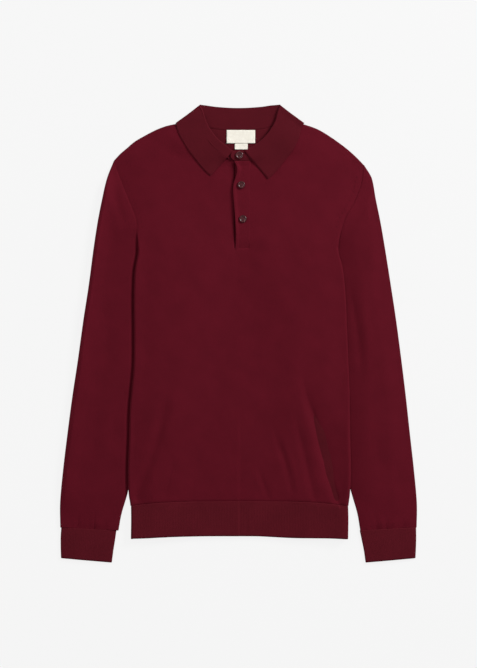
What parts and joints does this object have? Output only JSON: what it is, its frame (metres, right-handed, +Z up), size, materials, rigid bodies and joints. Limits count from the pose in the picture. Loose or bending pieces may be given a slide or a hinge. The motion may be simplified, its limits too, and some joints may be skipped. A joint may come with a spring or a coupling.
{
  "type": "polo sweater",
  "caption": "Long-sleeved fine-knit polo sweater, laid flat, with a turn-down collar, a buttoned placket and ribbed hem and cuffs.",
  "frame": {"origin": "middle of the footprint, on the surface that the garment lies on", "axes": "+Y towards the neck, along the garment's length; +X to the right as seen from above; +Z up, the way the front faces"},
  "size_m": [0.5874, 0.7565, 0.0139],
  "materials": {
    "knit": "matte fine-gauge burgundy knit with a soft sheen at grazing angles",
    "rib_knit": "matte burgundy rib knit",
    "button": "polished dark burgundy resin",
    "label": "cream woven tape, bare"
  },
  "bodies": {
    "root": {"front_panel": "knit", "back_panel": "knit", "sleeve_left": "knit", "sleeve_right": "knit", "placket_band": "knit", "placket_underlap": "knit", "hem_rib_front": "rib_knit", "hem_rib_back": "rib_knit", "cuff_left": "rib_knit", "cuff_right": "rib_knit", "collar": "rib_knit", "neckband_tab": "rib_knit", "button_1": "button", "button_2": "button", "button_3": "button", "neck_label": "label", "size_tab": "label"}
  },
  "joints": []
}
